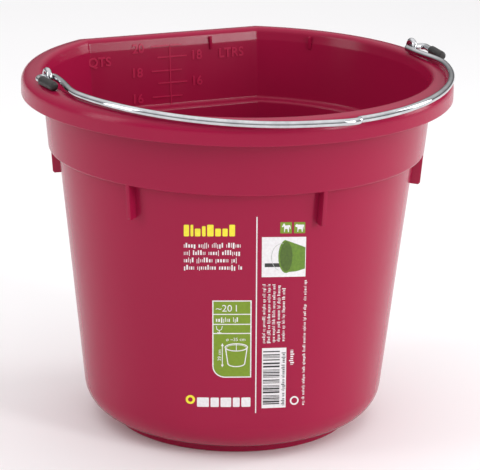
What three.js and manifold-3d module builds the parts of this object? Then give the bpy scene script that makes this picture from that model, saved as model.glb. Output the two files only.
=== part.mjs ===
// A 20-litre flat-back feed bucket: a moulded shell with a rolled rim, and a steel wire bail that
// swings in two wire eyes. Millimetres, +Z up, the flat back towards +Y, standing on z = 0.

import * as THREE from 'three';
import { mergeVertices } from 'three/addons/utils/BufferGeometryUtils.js';
import Module from 'manifold-3d';

const wasm = await Module();
wasm.setup();

// ---- Driving dimensions -----------------------------------------------------------------------

const clearance = 0.3;

// Rim: a crowned top with a skirt hanging from its outer edge.
const rimRadius = 174.4;
const rimHeight = 293;
const crestRadius = 162;
const skirtBottom = 273.9;
const skirtThickness = 2.6;
const rimThickness = 3.4;
const rimOuterRounding = 9;
const rimInnerRounding = 7;
const rimFall = 1.4;

// Wall: an upper and a lower taper joined by a nesting shoulder.
const wallThickness = 3;
const upperTopRadius = 156.9;
const upperBottomRadius = 152.6;
const shoulderHeight = 229.2;
const shoulderRadius = 144.8;
const wallSlope = 0.1074;

// Base: a rounded floor edge standing on a foot ring.
const footRadius = 98.75;
const footWidth = 5.5;
const footDraft = 0.8;
const floorHeight = 6.5;
const baseRounding = 26;

// Flat back: how far each level's outline is cut back from its full circle.
const flatDepth = 20.9;
const cornerBlend = 0.6;
const centreRadius = 98;

// Fins under the shoulder and stacking ridges inside the rim.
const finCount = 6;
const finTurn = 3;
const finThickness = 3.4;
const finBottom = 201;
const finBury = 1.5;
const finFootRise = 1;
const finDraft = 2.2;
const ridgeWidth = 2.6;
const ridgeDepth = 1.4;
const ridgeHeight = 14;
const ridgeMiddle = 279;
const ridgeTurns = [132.5, 166];

// Wire eyes and their backing plates, on the line that the bail swings about. All the metalwork
// sits a touch to the right of the moulding's middle.
const metalShift = 1.75;
const eyeX = 161;
const pivotY = 9;
const pivotHeight = 296.5;
const eyeWire = 4.6;
const eyeSpan = 10.9;
const eyeCrown = 302;
const clinchHeight = 281.4;
const clinchBend = 3.6;
const clinchLength = 6;
const bossTurn = 7;
const bossInner = 156;
const bossOuter = 170.5;
const bossBottom = 286;
const bossBury = 0.5;
const plateLength = 24;
const plateWidth = 7.5;
const plateThickness = 1.5;
const plateSetIn = 1.2;
const notchPlay = 0.5;

// Bail: steel wire with a plastic cap on each returned end.
const bailWire = 5.5;
const innerStrandX = 155.6;
const strandEnds = { left: { outerX: 169.2, capGap: 5 }, right: { outerX: 172.5, capGap: 12 } };
const strandTurnIn = 5.8;
const strandBend = 4.2;
const strandHandle = 24;
const bowRadius = 162.3;
const bowCentreY = -17.2;
const bowEndTurn = 13.7;
const bowHandle = 18.5;
const bowPeak = { x: 19.9, y: -184.5, left: -97.7, right: -83.2 };
const bailDroop = 5.2;
const bailReach = 190;
const droopPower = 3.2;
const capRadius = 3.75;
const capLength = 23;
const capFloor = 2.5;
const strandFoot = 5;

// The origin is under the middle of the whole outline, with the resting bail.
const bucketAxisY = 14.5;

// Fineness of the round shapes.
const roundSegments = 72;
const wireArcSteps = 5;

// ---- Materials --------------------------------------------------------------------------------

const bucketPlastic = new THREE.MeshStandardMaterial({ color: 0xa32046, roughness: 0.3 });
const bailSteel = new THREE.MeshStandardMaterial({ color: 0xc4c8ca, roughness: 0.18, metalness: 1 });
const plateSteel = new THREE.MeshStandardMaterial({ color: 0x9a9d9f, roughness: 0.4, metalness: 1 });
const capPlastic = new THREE.MeshStandardMaterial({ color: 0x2d2b2c, roughness: 0.6 });

// ---- Helpers ----------------------------------------------------------------------------------

function toSolid(geometry) {
  const bare = geometry.clone();
  bare.deleteAttribute('normal');
  bare.deleteAttribute('uv');
  const merged = mergeVertices(bare, 1e-4);
  return new wasm.Manifold(new wasm.Mesh({
    numProp: 3,
    vertProperties: new Float32Array(merged.attributes.position.array),
    triVerts: new Uint32Array(merged.index.array),
  }));
}

function toGeometry(solid) {
  const mesh = solid.getMesh();
  const geometry = new THREE.BufferGeometry();
  geometry.setAttribute('position', new THREE.BufferAttribute(mesh.vertProperties, 3));
  geometry.setIndex(new THREE.BufferAttribute(mesh.triVerts, 1));
  geometry.computeVertexNormals();
  return geometry;
}

// Rounds the corner at b between a and c, and gives the arc's points from a's side to c's side.
function roundedCorner(a, b, c, radius, steps) {
  const toA = a.clone().sub(b).normalize();
  const toC = c.clone().sub(b).normalize();
  const half = Math.acos(toA.dot(toC)) / 2;
  const centre = toA.clone().add(toC).normalize().multiplyScalar(radius / Math.sin(half)).add(b);
  const first = toA.clone().multiplyScalar(radius / Math.tan(half)).add(b).sub(centre);
  const last = toC.clone().multiplyScalar(radius / Math.tan(half)).add(b).sub(centre);
  const sweep = Math.atan2(first.cross(last), first.dot(last));
  const points = [];
  for (let i = 0; i <= steps; i++) {
    points.push(first.clone().rotateAround(new THREE.Vector2(), (sweep * i) / steps).add(centre));
  }
  return points;
}

// A closed outline from corners [x, y, radius, steps]; a corner with no radius stays sharp.
function roundedOutline(corners) {
  const at = (i) => {
    const corner = corners[(i + corners.length) % corners.length];
    return new THREE.Vector2(corner[0], corner[1]);
  };
  const points = [];
  corners.forEach(([, , radius, steps], i) => {
    if (radius) {
      points.push(...roundedCorner(at(i - 1), at(i), at(i + 1), radius, steps));
    } else {
      points.push(at(i));
    }
  });
  return points;
}

// A curve that visits given points once each, so tight bends can have more steps than long runs.
class WirePath extends THREE.Curve {
  constructor(points) {
    super();
    this.points = points;
    this.last = points.length - 1;
  }

  getPoint(t) {
    return this.points[Math.round(t * this.last)].clone();
  }

  getPointAt(u) {
    return this.getPoint(u);
  }

  getTangent(t) {
    const i = Math.round(t * this.last);
    const before = this.points[Math.max(i - 1, 0)];
    const after = this.points[Math.min(i + 1, this.last)];
    return after.clone().sub(before).normalize();
  }

  getTangentAt(u) {
    return this.getTangent(u);
  }
}

function wireGeometry(points, radius) {
  const section = new THREE.Shape();
  section.absarc(0, 0, radius, 0, 2 * Math.PI, false);
  return new THREE.ExtrudeGeometry(section, {
    steps: points.length - 1,
    curveSegments: wireArcSteps,
    extrudePath: new WirePath(points),
  });
}

// ---- Bucket shell -----------------------------------------------------------------------------

// The shell is shaped round first, then every point is drawn in to the flat back: each level keeps
// the same wall thickness, and the corner between the flat and the round is eased.
function drawInFlatBack(geometry) {
  const position = geometry.attributes.position;
  for (let i = 0; i < position.count; i++) {
    const x = position.getX(i);
    const y = position.getY(i);
    const radius = Math.hypot(x, y);
    const towardsBack = y / Math.max(radius, 1e-9);
    const flat = radius - flatDepth * Math.min(radius / centreRadius, 1);
    if (towardsBack > 0.1 && radius > 0) {
      const blend = cornerBlend * Math.min(radius / centreRadius, 1);
      const reach = easedMinimum(radius, flat / towardsBack, blend);
      position.setXY(i, (x * reach) / radius, (y * reach) / radius);
    }
  }
  geometry.computeVertexNormals();
  return geometry;
}

function easedMinimum(a, b, blend) {
  const near = Math.max(blend - Math.abs(a - b), 0) / blend;
  return Math.min(a, b) - (near * near * blend) / 4;
}

// Corners of the section, as [radius, height, rounding, steps in the rounding].
function shellProfile() {
  const wallAt = (z) => shoulderRadius - (shoulderHeight - z) * wallSlope;
  const upperSlope = (upperTopRadius - upperBottomRadius) / (skirtBottom - shoulderHeight);
  const upperAt = (z) => upperBottomRadius + (z - shoulderHeight) * upperSlope;
  const insideFloor = floorHeight + wallThickness;
  const ledge = shoulderHeight + wallThickness;
  const underRim = rimHeight - rimThickness;
  const skirtInside = rimRadius - skirtThickness;
  const corners = [
    [0, floorHeight],
    [footRadius - footWidth, floorHeight, 1.5, 1],
    [footRadius - footWidth + footDraft, 0],
    [footRadius, 0, 1.2, 1],
    [footRadius, floorHeight],
    [wallAt(floorHeight), floorHeight, baseRounding, 5],
    [shoulderRadius, shoulderHeight, 1.5, 1],
    [upperBottomRadius, shoulderHeight, 2, 2],
    [upperAt(underRim), underRim, 4, 3],
    [skirtInside, underRim, rimOuterRounding - skirtThickness, 3],
    [skirtInside, skirtBottom],
    [rimRadius, skirtBottom, 0.9, 1],
    [rimRadius, rimHeight - rimFall, rimOuterRounding, 5],
    [crestRadius, rimHeight],
    [upperAt(rimHeight) - wallThickness, rimHeight, rimInnerRounding, 5],
    [upperAt(ledge) - wallThickness, ledge, 2.5, 2],
    [wallAt(ledge) - wallThickness, ledge, 2.5, 2],
    [wallAt(insideFloor) - wallThickness, insideFloor, baseRounding - wallThickness, 4],
    [0, insideFloor],
  ];
  return roundedOutline(corners);
}

function shellGeometry() {
  return new THREE.LatheGeometry(shellProfile(), roundSegments).rotateX(Math.PI / 2);
}

// A fin stands on the lower wall, hangs from the shoulder and ends flush with the upper wall.
function finGeometry(turn) {
  const wallAtFoot = shoulderRadius - (shoulderHeight - finBottom) * wallSlope;
  const top = shoulderHeight + finBury;
  const edge = upperBottomRadius - finDraft;
  const outline = new THREE.Shape([
    new THREE.Vector2(wallAtFoot - finBury, finBottom + finFootRise),
    new THREE.Vector2(edge - finBury, finBottom),
    new THREE.Vector2(edge, finBottom + finBury),
    new THREE.Vector2(edge + finDraft, top),
    new THREE.Vector2(shoulderRadius - finBury, top),
  ]);
  const fin = new THREE.ExtrudeGeometry(outline, { depth: finThickness, bevelEnabled: false });
  fin.translate(0, 0, -finThickness / 2);
  fin.rotateX(Math.PI / 2);
  return fin.rotateZ(THREE.MathUtils.degToRad(turn - 90));
}

// A small upright ridge on the wall inside, just under the rim.
function ridgeGeometry(turn) {
  const innerWall = upperTopRadius - wallThickness;
  const buried = wallThickness / 2;
  const ridge = new THREE.BoxGeometry(ridgeDepth + buried, ridgeWidth, ridgeHeight);
  ridge.translate(innerWall + (buried - ridgeDepth) / 2, 0, ridgeMiddle);
  return ridge.rotateZ(THREE.MathUtils.degToRad(turn - 90));
}

// The rim is filled in solid under each eye, for the eye's legs to pass through.
function bossGeometry(side) {
  const middle = Math.atan2(pivotY, side * eyeX + metalShift);
  const half = THREE.MathUtils.degToRad(bossTurn);
  const outline = new THREE.Shape();
  outline.absarc(0, 0, bossOuter, middle - half, middle + half, false);
  outline.absarc(0, 0, bossInner, middle + half, middle - half, true);
  const height = rimHeight - rimThickness + bossBury - bossBottom;
  const boss = new THREE.ExtrudeGeometry(outline, {
    depth: height,
    bevelEnabled: false,
    curveSegments: 6,
  });
  return boss.translate(0, 0, bossBottom);
}

function bucketShell() {
  let solid = toSolid(shellGeometry());
  for (let i = 0; i < finCount; i++) {
    solid = solid.add(toSolid(finGeometry(finTurn + (i * 360) / finCount)));
  }
  for (const turn of ridgeTurns) {
    solid = solid.add(toSolid(ridgeGeometry(turn)));
  }
  solid = toSolid(drawInFlatBack(toGeometry(solid)));
  for (const side of [-1, 1]) {
    solid = solid.add(toSolid(bossGeometry(side)));
    solid = solid.subtract(toSolid(eyeGeometry(side, eyeWire / 2 + clearance)));
    solid = solid.subtract(toSolid(plateGeometry(side, clearance)));
  }
  return toGeometry(solid);
}

// ---- Wire eyes and backing plates -------------------------------------------------------------

// An eye is an upside-down U of wire across the swing line; below the boss its ends turn outwards.
function eyePoints(side) {
  const leg = eyeSpan / 2;
  const half = new THREE.Path();
  half.moveTo(-leg - clinchBend - clinchLength, clinchHeight);
  half.lineTo(-leg - clinchBend, clinchHeight);
  half.absarc(-leg - clinchBend, clinchHeight + clinchBend, clinchBend, -Math.PI / 2, 0, false);
  half.lineTo(-leg, eyeCrown - leg);
  half.absarc(0, eyeCrown - leg, leg, Math.PI, 0, true);
  half.lineTo(leg, clinchHeight + clinchBend);
  half.absarc(leg + clinchBend, clinchHeight + clinchBend, clinchBend, Math.PI, 1.5 * Math.PI, false);
  half.lineTo(leg + clinchBend + clinchLength, clinchHeight);
  return half.getPoints(5).map((p) => new THREE.Vector3(side * eyeX + metalShift, pivotY + p.x, p.y));
}

function eyeGeometry(side, radius = eyeWire / 2) {
  return wireGeometry(eyePoints(side), radius);
}

// A strip of steel between the boss and the turned ends, notched from its inner edge for the legs.
function plateGeometry(side, grow = 0) {
  const inner = eyeX - eyeWire / 2 - clearance + plateSetIn - grow;
  const outer = inner + plateWidth + 2 * grow;
  const end = plateLength / 2 + grow;
  const leg = eyeSpan / 2;
  const notch = eyeWire / 2 + notchPlay;
  const depth = eyeX + notch;
  const corners = [[inner, -end], [outer, -end], [outer, end], [inner, end]];
  for (const y of grow ? [] : [leg, -leg]) {
    corners.push([inner, y + notch], [depth, y + notch], [depth, y - notch], [inner, y - notch]);
  }
  const outline = new THREE.Shape(corners.map(([x, y]) => new THREE.Vector2(x, y)));
  const height = plateThickness + 2 * grow;
  const plate = new THREE.ExtrudeGeometry(outline, { depth: height, bevelEnabled: false });
  plate.translate(0, 0, bossBottom - clearance - plateThickness - grow);
  if (side < 0) {
    plate.rotateZ(Math.PI);
  }
  return plate.translate(metalShift, pivotY, 0);
}

// ---- Bail -------------------------------------------------------------------------------------

// The bail lies nearly level at rest, and its bow is sprung a little downwards at the front.
function onBail({ x, y }) {
  const forward = Math.max(pivotY - y, 0) / bailReach;
  return new THREE.Vector3(x + metalShift, y, pivotHeight - bailDroop * forward ** droopPower);
}

function bowPoint(turn) {
  const angle = THREE.MathUtils.degToRad(turn);
  const point = new THREE.Vector2(Math.cos(angle), Math.sin(angle)).multiplyScalar(bowRadius);
  return point.setY(point.y + bowCentreY);
}

function bowPoints(from, to, steps) {
  return Array.from({ length: steps + 1 }, (_, i) => bowPoint(from + ((to - from) * i) / steps));
}

// One end of the bail: from inside the cap, back to the eye, through it, and forward again.
function strandPath(side) {
  const rightSide = side > 0;
  const { outerX, capGap } = rightSide ? strandEnds.right : strandEnds.left;
  const path = new THREE.Path();
  const bendY = pivotY - strandBend;
  const reach = capGap + capLength - capFloor - clearance;
  const inset = reach * Math.tan(THREE.MathUtils.degToRad(strandTurnIn));
  path.moveTo(side * (outerX - inset), bendY - reach);
  path.lineTo(side * outerX, bendY);
  const outerBendX = side * (outerX - strandBend);
  const innerBendX = side * (innerStrandX + strandBend);
  path.absarc(outerBendX, bendY, strandBend, rightSide ? 0 : Math.PI, Math.PI / 2, !rightSide);
  path.absarc(innerBendX, bendY, strandBend, Math.PI / 2, rightSide ? Math.PI : 0, !rightSide);
  path.lineTo(side * innerStrandX, bendY - strandFoot);
  return path;
}

// The bow runs past its widest place and sweeps back in to the strand beside the eye.
function sweepIn(side, steps) {
  const turn = side > 0 ? -bowEndTurn : bowEndTurn - 180;
  const bowEnd = bowPoint(turn);
  const outward = bowEnd.clone().setY(bowEnd.y - bowCentreY).normalize();
  const backward = new THREE.Vector2(-side * outward.y, side * outward.x).multiplyScalar(bowHandle);
  const foot = strandPath(side).getPoints(1).pop();
  const footHandle = foot.clone().setY(foot.y - strandHandle);
  const sweep = new THREE.CubicBezierCurve(bowEnd, bowEnd.clone().add(backward), footHandle, foot);
  return sweep.getPoints(steps).slice(1, -1);
}

function bailPoints() {
  const peak = new THREE.QuadraticBezierCurve(
    bowPoint(bowPeak.left),
    new THREE.Vector2(bowPeak.x, bowPeak.y),
    bowPoint(bowPeak.right),
  );
  const flat = [
    ...strandPath(-1).getPoints(5),
    ...sweepIn(-1, 10).reverse(),
    ...bowPoints(bowEndTurn - 180, bowPeak.left, 24),
    ...peak.getPoints(8).slice(1, -1),
    ...bowPoints(bowPeak.right, -bowEndTurn, 22),
    ...sweepIn(1, 10),
    ...strandPath(1).getPoints(5).reverse(),
  ];
  return flat.map(onBail);
}

// A cap is a blind sleeve with a rounded end, slipped over the end of the wire.
function capGeometry() {
  const bore = bailWire / 2 + clearance;
  const profile = roundedOutline([
    [bore, 0],
    [capRadius, 0, 0.5, 2],
    [capRadius, capLength, 2.2, 4],
    [0, capLength],
    [0, capLength - capFloor],
    [bore, capLength - capFloor],
  ]);
  profile.push(profile[0].clone());
  return new THREE.LatheGeometry(profile, 24);
}

function placeCap(mesh, side) {
  const [tip, heel] = strandPath(side).getPoints(1);
  const end = onBail(tip);
  const forward = end.clone().sub(onBail(heel)).normalize();
  mesh.quaternion.setFromUnitVectors(new THREE.Vector3(0, 1, 0), forward);
  mesh.position.copy(end).addScaledVector(forward, clearance + capFloor - capLength);
  return mesh;
}

// ---- Assembly ---------------------------------------------------------------------------------

function named(name, geometry, material) {
  const mesh = new THREE.Mesh(geometry, material);
  mesh.name = name;
  return mesh;
}

const bucket = new THREE.Group();
bucket.position.y = bucketAxisY;
bucket.add(named('bucket_shell', bucketShell(), bucketPlastic));
bucket.add(named('bail_wire', wireGeometry(bailPoints(), bailWire / 2), bailSteel));
for (const [side, word] of [[-1, 'left'], [1, 'right']]) {
  bucket.add(named(`bail_eye_${word}`, eyeGeometry(side), bailSteel));
  bucket.add(named(`backing_plate_${word}`, plateGeometry(side), plateSteel));
  bucket.add(placeCap(named(`bail_cap_${word}`, capGeometry(), capPlastic), side));
}

const feedBucket = new THREE.Group();
feedBucket.add(bucket);

export default feedBucket;
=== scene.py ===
import math
import random

import bmesh
import bpy
from mathutils import Matrix, Vector


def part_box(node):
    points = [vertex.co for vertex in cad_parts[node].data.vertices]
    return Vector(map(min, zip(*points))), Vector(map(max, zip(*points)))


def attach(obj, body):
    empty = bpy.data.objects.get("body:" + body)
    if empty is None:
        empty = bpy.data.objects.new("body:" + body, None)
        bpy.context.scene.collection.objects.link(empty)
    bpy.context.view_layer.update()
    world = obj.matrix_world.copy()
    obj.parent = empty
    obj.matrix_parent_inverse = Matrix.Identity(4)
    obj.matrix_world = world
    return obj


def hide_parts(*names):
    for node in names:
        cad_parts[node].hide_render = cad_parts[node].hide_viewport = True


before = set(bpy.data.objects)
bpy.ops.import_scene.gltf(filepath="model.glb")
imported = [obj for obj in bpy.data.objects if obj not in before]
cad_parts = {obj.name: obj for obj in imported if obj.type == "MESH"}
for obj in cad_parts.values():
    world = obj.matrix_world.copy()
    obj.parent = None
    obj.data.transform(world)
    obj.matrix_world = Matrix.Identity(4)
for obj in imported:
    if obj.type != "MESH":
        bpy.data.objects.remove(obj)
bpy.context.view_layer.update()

mm = 0.001

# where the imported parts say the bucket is, in millimetres
shellLow, shellHigh = (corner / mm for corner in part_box("bucket_shell"))
rimRadius = (shellHigh.x - shellLow.x) / 2
rimHeight = shellHigh.z
axisY = shellLow.y + rimRadius
flatDepth = axisY + rimRadius - shellHigh.y

# the camera: angles in degrees, distances in metres, lens and sensor in millimetres
cameraSet = {
    "turn": -23.93,
    "rise": 17.26,
    "roll": 1.04,
    "distance": 2.0288,
    "lookHeight": 0.145,
    "aimRight": 0.0043,
    "aimUp": 0.0070,
    "lens": 184.42,
    "sensor": 36,
    "farEnd": 50,
}


def makeCamera():
    turn = math.radians(cameraSet["turn"])
    rise = math.radians(cameraSet["rise"])
    middle = Vector((0, axisY * mm, cameraSet["lookHeight"]))
    back = Vector((
        math.sin(turn) * math.cos(rise),
        -math.cos(turn) * math.cos(rise),
        math.sin(rise),
    ))
    right = Vector((math.cos(turn), math.sin(turn), 0))
    up = back.cross(right)
    place = middle + back * cameraSet["distance"]
    aim = middle + right * cameraSet["aimRight"] + up * cameraSet["aimUp"]
    look = (aim - place).to_track_quat("-Z", "Y").to_matrix().to_4x4()
    data = bpy.data.cameras.new("studioCamera")
    data.lens = cameraSet["lens"]
    data.sensor_width = cameraSet["sensor"]
    data.clip_end = cameraSet["farEnd"]
    camera = bpy.data.objects.new("studioCamera", data)
    roll = Matrix.Rotation(math.radians(cameraSet["roll"]), 4, "Z")
    camera.matrix_world = Matrix.Translation(place) @ look @ roll
    bpy.context.scene.collection.objects.link(camera)
    bpy.context.scene.camera = camera


makeCamera()
print("camera set")


def newMaterial(name):
    material = bpy.data.materials.new(name)
    material.use_nodes = True
    nodes = material.node_tree.nodes
    return material, nodes, material.node_tree.links, nodes["Principled BSDF"]


def makeNoise(nodes, links, place, scale, detail=2.0, roughness=0.5):
    noise = nodes.new("ShaderNodeTexNoise")
    noise.inputs["Scale"].default_value = scale
    noise.inputs["Detail"].default_value = detail
    noise.inputs["Roughness"].default_value = roughness
    links.new(place, noise.inputs["Vector"])
    return noise.outputs["Fac"]


def makeRange(nodes, links, value, low, high, fromLow=0.3, fromHigh=0.7):
    span = nodes.new("ShaderNodeMapRange")
    span.inputs["From Min"].default_value = fromLow
    span.inputs["From Max"].default_value = fromHigh
    span.inputs["To Min"].default_value = low
    span.inputs["To Max"].default_value = high
    links.new(value, span.inputs["Value"])
    return span.outputs["Result"]


def makeMix(nodes, links, factor, colourA, colourB):
    mix = nodes.new("ShaderNodeMix")
    mix.data_type = "RGBA"
    mix.inputs["A"].default_value = (*colourA, 1)
    mix.inputs["B"].default_value = (*colourB, 1)
    links.new(factor, mix.inputs["Factor"])
    return mix.outputs["Result"]


def makeBump(nodes, links, height, strength, distance, onto=None):
    bump = nodes.new("ShaderNodeBump")
    bump.inputs["Strength"].default_value = strength
    bump.inputs["Distance"].default_value = distance
    links.new(height, bump.inputs["Height"])
    if onto:
        links.new(onto, bump.inputs["Normal"])
    return bump.outputs["Normal"]


def stretchedPlace(nodes, links, scale):
    place = nodes.new("ShaderNodeTexCoord")
    mapping = nodes.new("ShaderNodeMapping")
    mapping.inputs["Scale"].default_value = scale
    links.new(place.outputs["Object"], mapping.inputs["Vector"])
    return mapping.outputs["Vector"]


def setLook(links, shader, colour, rough, normal):
    links.new(colour, shader.inputs["Base Color"])
    links.new(rough, shader.inputs["Roughness"])
    links.new(normal, shader.inputs["Normal"])


raspberry = {
    "deep": (0.322, 0.0066, 0.045),
    "bright": (0.350, 0.0082, 0.051),
    "cloudScale": 6,
    "rubScale": 45,
    "roughLow": 0.19,
    "roughHigh": 0.27,
    "grainScale": 900,
    "grainStrength": 0.2,
    "grainHeight": 0.000012,
    "flowScale": 9,
    "flowStrength": 0.3,
    "flowHeight": 0.0012,
    "tallStretch": 0.3,
    "specular": 0.22,
    "ior": 1.49,
}


# faint clouds in the colour, fine rub marks in the gloss, slow waves from the mould; a lift above one
# lightens the whole colour as a painted highlight
def bucketPlastic(name="raspberryPlastic", highlightLift=1.0, dull=0.0):
    s = raspberry
    material, nodes, links, shader = newMaterial(name)
    place = stretchedPlace(nodes, links, (1, 1, 1))
    tall = stretchedPlace(nodes, links, (1, 1, s["tallStretch"]))
    cloud = makeNoise(nodes, links, place, s["cloudScale"], 3)
    deep = [value * highlightLift for value in s["deep"]]
    bright = [value * highlightLift for value in s["bright"]]
    colour = makeMix(nodes, links, cloud, deep, bright)
    rub = makeNoise(nodes, links, tall, s["rubScale"], 4, 0.6)
    rough = makeRange(nodes, links, rub, s["roughLow"] + dull, s["roughHigh"] + dull)
    grain = makeNoise(nodes, links, place, s["grainScale"], 1)
    flow = makeNoise(nodes, links, tall, s["flowScale"], 0)
    bumped = makeBump(nodes, links, grain, s["grainStrength"], s["grainHeight"])
    bumped = makeBump(nodes, links, flow, s["flowStrength"], s["flowHeight"], bumped)
    setLook(links, shader, colour, rough, bumped)
    shader.inputs["Specular IOR Level"].default_value = s["specular"]
    shader.inputs["IOR"].default_value = s["ior"]
    return material


steel = {
    "bright": (0.64, 0.65, 0.67),
    "dull": (0.50, 0.51, 0.53),
    "roughLow": 0.03,
    "roughHigh": 0.07,
    "patchScale": 90,
    "drawnScale": 500,
    "drawnStrength": 0.2,
    "drawnHeight": 0.00001,
}


def bailSteel():
    s = steel
    material, nodes, links, shader = newMaterial("platedWire")
    place = stretchedPlace(nodes, links, (1, 1, 1))
    patches = makeNoise(nodes, links, place, s["patchScale"], 4, 0.65)
    even = makeRange(nodes, links, patches, 0, 1, 0.35, 0.65)
    colour = makeMix(nodes, links, even, s["dull"], s["bright"])
    rough = makeRange(nodes, links, patches, s["roughHigh"], s["roughLow"])
    drawn = makeNoise(nodes, links, place, s["drawnScale"], 2)
    bumped = makeBump(nodes, links, drawn, s["drawnStrength"], s["drawnHeight"])
    setLook(links, shader, colour, rough, bumped)
    shader.inputs["Metallic"].default_value = 1
    return material


plateLook = {
    "dull": (0.42, 0.43, 0.44),
    "bright": (0.60, 0.61, 0.62),
    "stretch": 0.04,
    "brushScale": 1500,
    "brushStrength": 0.3,
    "brushHeight": 0.00004,
    "roughLow": 0.34,
    "roughHigh": 0.5,
}


def plateSteel():
    s = plateLook
    material, nodes, links, shader = newMaterial("dullPlateSteel")
    along = stretchedPlace(nodes, links, (1, s["stretch"], 1))
    brushed = makeNoise(nodes, links, along, s["brushScale"], 3)
    colour = makeMix(nodes, links, brushed, s["dull"], s["bright"])
    rough = makeRange(nodes, links, brushed, s["roughLow"], s["roughHigh"])
    bumped = makeBump(nodes, links, brushed, s["brushStrength"], s["brushHeight"])
    setLook(links, shader, colour, rough, bumped)
    shader.inputs["Metallic"].default_value = 1
    return material


capLook = {
    "dark": (0.012, 0.011, 0.011),
    "pale": (0.022, 0.020, 0.019),
    "scuffScale": 260,
    "roughLow": 0.42,
    "roughHigh": 0.6,
    "grainScale": 2600,
    "grainStrength": 0.35,
    "grainHeight": 0.00004,
}


def capPlastic():
    s = capLook
    material, nodes, links, shader = newMaterial("capPlastic")
    place = stretchedPlace(nodes, links, (1, 1, 1))
    scuff = makeNoise(nodes, links, place, s["scuffScale"], 4, 0.6)
    colour = makeMix(nodes, links, scuff, s["dark"], s["pale"])
    rough = makeRange(nodes, links, scuff, s["roughLow"], s["roughHigh"])
    grain = makeNoise(nodes, links, place, s["grainScale"], 2)
    bumped = makeBump(nodes, links, grain, s["grainStrength"], s["grainHeight"])
    setLook(links, shader, colour, rough, bumped)
    return material


# every ink: (thin colour, full colour)
inkSet = {
    "white": ((0.78, 0.74, 0.76), (0.86, 0.85, 0.86)),
    "yellow": ((0.86, 0.74, 0.03), (0.93, 0.83, 0.04)),
    "green": ((0.17, 0.27, 0.006), (0.20, 0.31, 0.008)),
    "leaf": ((0.10, 0.20, 0.012), (0.14, 0.27, 0.016)),
    "leafDark": ((0.05, 0.10, 0.008), (0.08, 0.15, 0.010)),
    "dark": ((0.02, 0.02, 0.02), (0.035, 0.035, 0.035)),
    "wire": ((0.45, 0.47, 0.44), (0.55, 0.57, 0.54)),
}
inkLook = {
    "coverScale": 500,
    "roughLow": 0.3,
    "roughHigh": 0.42,
    "weaveScale": 1800,
    "weaveStrength": 0.2,
    "weaveHeight": 0.00002,
}


def inkMaterial(ink):
    s = inkLook
    thin, full = inkSet[ink]
    material, nodes, links, shader = newMaterial(ink + "Ink")
    place = stretchedPlace(nodes, links, (1, 1, 1))
    cover = makeNoise(nodes, links, place, s["coverScale"], 3)
    even = makeRange(nodes, links, cover, 0, 1)
    colour = makeMix(nodes, links, even, thin, full)
    rough = makeRange(nodes, links, cover, s["roughLow"], s["roughHigh"])
    weave = makeNoise(nodes, links, place, s["weaveScale"], 2)
    bumped = makeBump(nodes, links, weave, s["weaveStrength"], s["weaveHeight"])
    setLook(links, shader, colour, rough, bumped)
    return material


plasticFinish = bucketPlastic()
# the raised scale's copy of the plastic is lighter in colour as a painted highlight for light catching
# the raised letters, and a little duller in gloss
paintedHighlightFinish = bucketPlastic("raisedPlasticPaintedHighlight", highlightLift=1.4, dull=0.1)
steelFinish = bailSteel()
plateFinish = plateSteel()
capFinish = capPlastic()
print("materials made")


def finishPiece(mesh, name, material, sharpTurn=40):
    piece = bpy.data.objects.new(name, mesh)
    bpy.context.scene.collection.objects.link(piece)
    mesh.materials.append(material)
    shape = bmesh.new()
    shape.from_mesh(mesh)
    bmesh.ops.recalc_face_normals(shape, faces=shape.faces[:])
    for face in shape.faces:
        face.smooth = True
    limit = math.radians(sharpTurn)
    for edge in shape.edges:
        edge.smooth = edge.calc_face_angle(0) < limit
    shape.to_mesh(mesh)
    shape.free()
    return piece


def meshFrom(shape, name):
    mesh = bpy.data.meshes.new(name)
    shape.to_mesh(mesh)
    shape.free()
    return mesh


# rounds the corner at b and gives the arc's points from a's side to c's side
def roundedCorner(a, b, c, radius, degreesPerStep=11):
    toA = (a - b).normalized()
    toC = (c - b).normalized()
    half = toA.angle(toC) / 2
    centre = b + (toA + toC).normalized() * (radius / math.sin(half))
    first = b + toA * (radius / math.tan(half)) - centre
    last = b + toC * (radius / math.tan(half)) - centre
    sweep = math.atan2(first.x * last.y - first.y * last.x, first.dot(last))
    steps = max(2, math.ceil(abs(math.degrees(sweep)) / degreesPerStep))
    points = []
    for i in range(steps + 1):
        turned = Matrix.Rotation(sweep * i / steps, 2) @ first
        points.append(centre + turned)
    return points


# a smooth outline from corners (x, y, rounding); straight stretches get a point close to each end
def roundedOutline(corners, closed, margin=0.7):
    spots = [Vector(corner[:2]) for corner in corners]
    runs = []
    for i, corner in enumerate(corners):
        rounding = corner[2] if len(corner) > 2 else 0
        isEnd = not closed and i in (0, len(corners) - 1)
        if rounding and not isEnd:
            runs.append(roundedCorner(spots[i - 1], spots[i], spots[(i + 1) % len(spots)], rounding))
        else:
            runs.append([spots[i]])
    points = []
    for i, run in enumerate(runs):
        points.extend(run)
        if i == len(runs) - 1 and not closed:
            break
        start = run[-1]
        end = runs[(i + 1) % len(runs)][0]
        gap = (end - start).length
        if gap > 3 * margin:
            along = (end - start).normalized()
            points.append(start + along * margin)
            points.append(end - along * margin)
    return points


# the moulded bucket; radii are measured from its own axis
shellSet = {
    "crestRadius": 162,
    "skirtBottom": 273.9,
    "skirtThickness": 2.6,
    "rimThickness": 3.4,
    "rimOuterRounding": 9,
    "flareReach": 1.3,
    "flareDrop": 10,
    "flareRounding": 4.6,
    "rimFall": 1.4,
    "wall": 3,
    "upperTopRadius": 156.9,
    "upperBottomRadius": 152.6,
    "shoulderHeight": 229.2,
    "shoulderRadius": 144.8,
    "wallSlope": 0.1074,
    "footRadius": 98.75,
    "footWidth": 5.5,
    "footDraft": 0.8,
    "floorHeight": 6.5,
    "baseRounding": 26,
    "cornerBlend": 0.6,
    "centreRadius": 98,
    # steps round half a level: along the flat, through its corner, round the rest
    "flatSteps": 16,
    "cornerSteps": 12,
    "roundSteps": 84,
    "cornerTurn": 1.1,
}

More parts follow.
